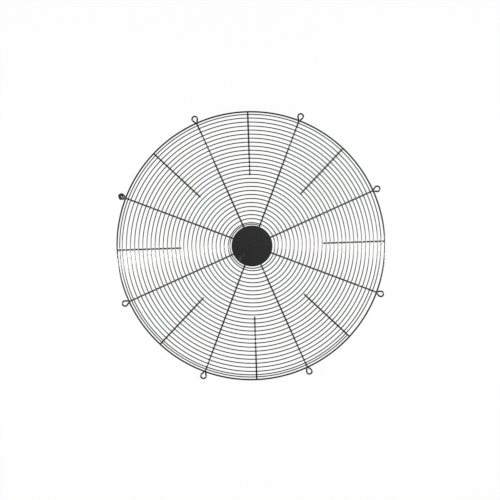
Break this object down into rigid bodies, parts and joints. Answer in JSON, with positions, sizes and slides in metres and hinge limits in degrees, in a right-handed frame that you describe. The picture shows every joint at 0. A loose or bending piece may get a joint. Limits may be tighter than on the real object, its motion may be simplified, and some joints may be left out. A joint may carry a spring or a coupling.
{
  "type": "wire fan guard",
  "caption": "Round wire guard for a large axial fan: a spiral of thin wire on radial spokes, with a blank disc over the hub, a rim ring and screw eyes.",
  "frame": {"origin": "on the plane that the eyes are screwed to, on the axis of the rim ring", "axes": "+Z out of the front face; +X from the ring's axis towards the short spoke counted first, with the first long spoke's eye 22 degrees anticlockwise of it"},
  "size_m": [0.6706, 0.6706, 0.0178],
  "materials": {
    "wire_coating": "semi-matt black powder coating on steel wire",
    "disc_coating": "matt black powder coating on steel sheet",
    "bush_rubber": "matt black rubber"
  },
  "bodies": {
    "root": {"outer_ring": "wire_coating", "guard_spiral": "wire_coating", "hub_disc": "disc_coating", "eye_bush": "bush_rubber", "long_spoke_1": "wire_coating", "long_spoke_2": "wire_coating", "long_spoke_3": "wire_coating", "long_spoke_4": "wire_coating", "long_spoke_5": "wire_coating", "long_spoke_6": "wire_coating", "long_spoke_7": "wire_coating", "long_spoke_8": "wire_coating", "short_spoke_1": "wire_coating", "short_spoke_2": "wire_coating", "short_spoke_3": "wire_coating", "short_spoke_4": "wire_coating", "short_spoke_5": "wire_coating", "short_spoke_6": "wire_coating", "short_spoke_7": "wire_coating", "short_spoke_8": "wire_coating"}
  },
  "joints": []
}
